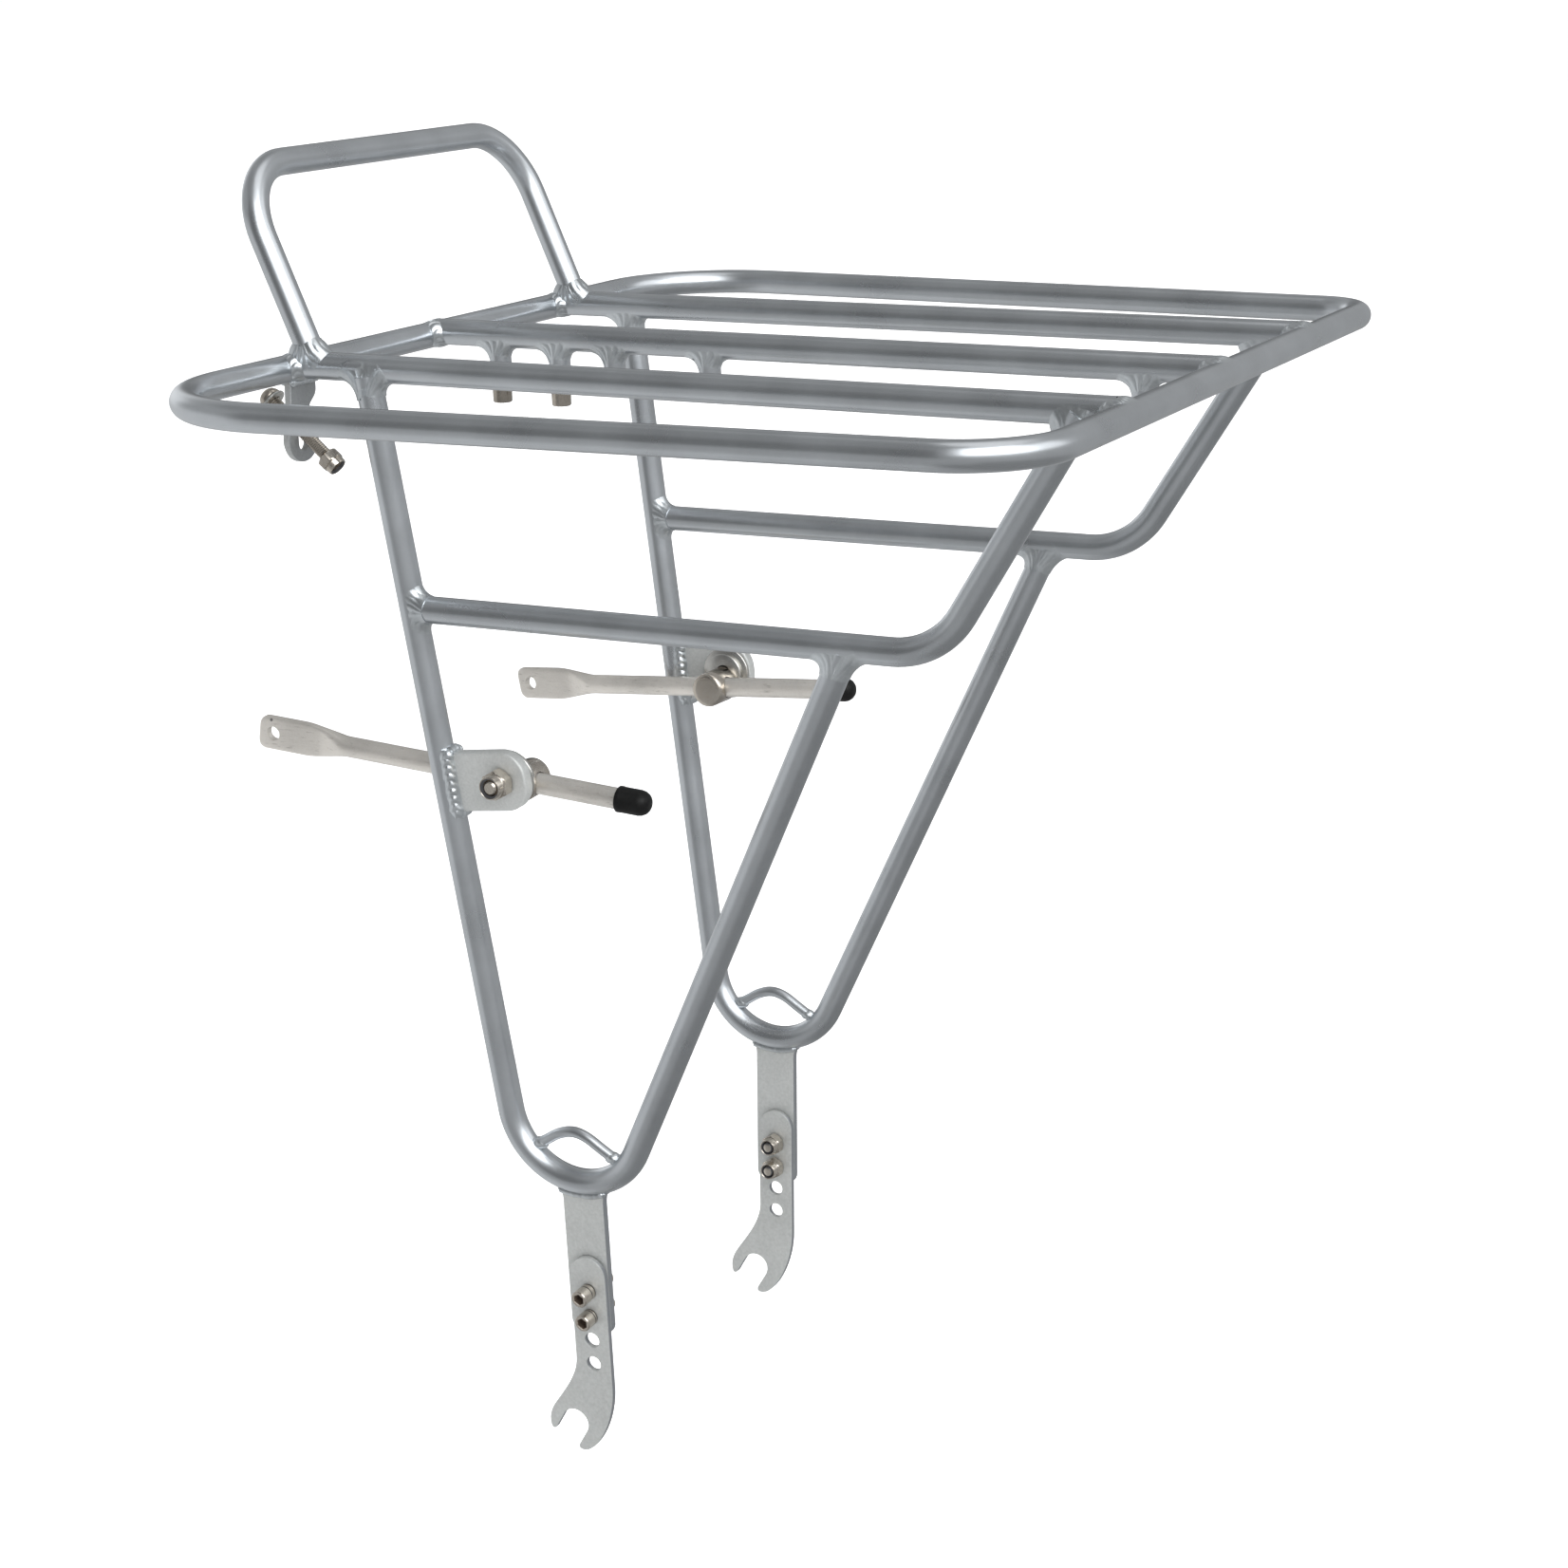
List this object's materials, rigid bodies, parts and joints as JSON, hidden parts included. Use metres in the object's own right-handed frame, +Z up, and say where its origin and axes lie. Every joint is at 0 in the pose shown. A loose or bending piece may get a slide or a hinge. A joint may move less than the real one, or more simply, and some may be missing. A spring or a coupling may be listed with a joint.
{
  "type": "bicycle luggage rack",
  "caption": "Silver bent-rod bicycle rack: rounded deck with rails and an end hoop, V-shaped side frames with axle hooks, and adjustable clamped stays.",
  "frame": {"origin": "bottom centre of the bounding box, level with the tip of the left axle hook", "axes": "+X from the end with the hoop and the stays towards the open end of the deck, +Y to the left side, +Z up"},
  "size_m": [0.3624, 0.3794, 0.4995],
  "materials": {
    "rod_alloy": "satin silver grey",
    "plate_alloy": "bead-blasted silver grey",
    "fastener_steel": "bright nickel",
    "stay_steel": "satin, warm grey",
    "cap_rubber": "matt black"
  },
  "bodies": {
    "frame": {"deck_loop": "rod_alloy", "deck_rail_left": "rod_alloy", "deck_rail_center": "rod_alloy", "deck_rail_right": "rod_alloy", "end_hoop": "rod_alloy", "deck_boss_1": "rod_alloy", "boss_screw_1": "fastener_steel", "deck_boss_2": "rod_alloy", "boss_screw_2": "fastener_steel", "deck_boss_3": "rod_alloy", "deck_boss_4": "rod_alloy", "deck_boss_5": "rod_alloy", "lamp_bracket": "plate_alloy", "lamp_bolt": "fastener_steel", "lamp_washer": "fastener_steel", "lamp_nut": "fastener_steel", "side_leg_left": "rod_alloy", "pannier_rail_left": "rod_alloy", "foot_bridge_left": "rod_alloy", "foot_tab_left": "plate_alloy", "dropout_plate_left": "plate_alloy", "dropout_screw_left_1": "fastener_steel", "dropout_nut_left_1": "fastener_steel", "dropout_screw_left_2": "fastener_steel", "dropout_nut_left_2": "fastener_steel", "stay_tab_left": "plate_alloy", "side_leg_right": "rod_alloy", "pannier_rail_right": "rod_alloy", "foot_bridge_right": "rod_alloy", "foot_tab_right": "plate_alloy", "dropout_plate_right": "plate_alloy", "dropout_screw_right_1": "fastener_steel", "dropout_nut_right_1": "fastener_steel", "dropout_screw_right_2": "fastener_steel", "dropout_nut_right_2": "fastener_steel", "stay_tab_right": "plate_alloy"},
    "stay_clamp_left": {"eye_bolt_left": "fastener_steel", "clamp_washer_large_left": "fastener_steel", "clamp_washer_small_left": "fastener_steel", "clamp_nut_left": "fastener_steel"},
    "stay_left": {"stay_rod_left": "stay_steel", "stay_cap_left": "cap_rubber"},
    "stay_clamp_right": {"eye_bolt_right": "fastener_steel", "clamp_washer_large_right": "fastener_steel", "clamp_washer_small_right": "fastener_steel", "clamp_nut_right": "fastener_steel"},
    "stay_right": {"stay_rod_right": "stay_steel", "stay_cap_right": "cap_rubber"}
  },
  "joints": [
    {"name": "stay_pivot_left", "type": "hinge", "parent": "frame", "child": "stay_clamp_left", "pos_m": [-0.06582, 0.08558, 0.27641], "axis": [0, 0.9993, -0.0382], "range_deg": [-45, 45]},
    {"name": "stay_slide_left", "type": "slide", "parent": "stay_clamp_left", "child": "stay_left", "axis": [0.9934, -0.0615, 0.0965], "range_m": [-0.045, 0.053]},
    {"name": "stay_pivot_right", "type": "hinge", "parent": "frame", "child": "stay_clamp_right", "pos_m": [-0.06582, -0.08595, 0.27641], "axis": [0, 0.9993, 0.0382], "range_deg": [-45, 45]},
    {"name": "stay_slide_right", "type": "slide", "parent": "stay_clamp_right", "child": "stay_right", "axis": [0.9945, 0.0683, -0.0794], "range_m": [-0.03, 0.067]}
  ]
}
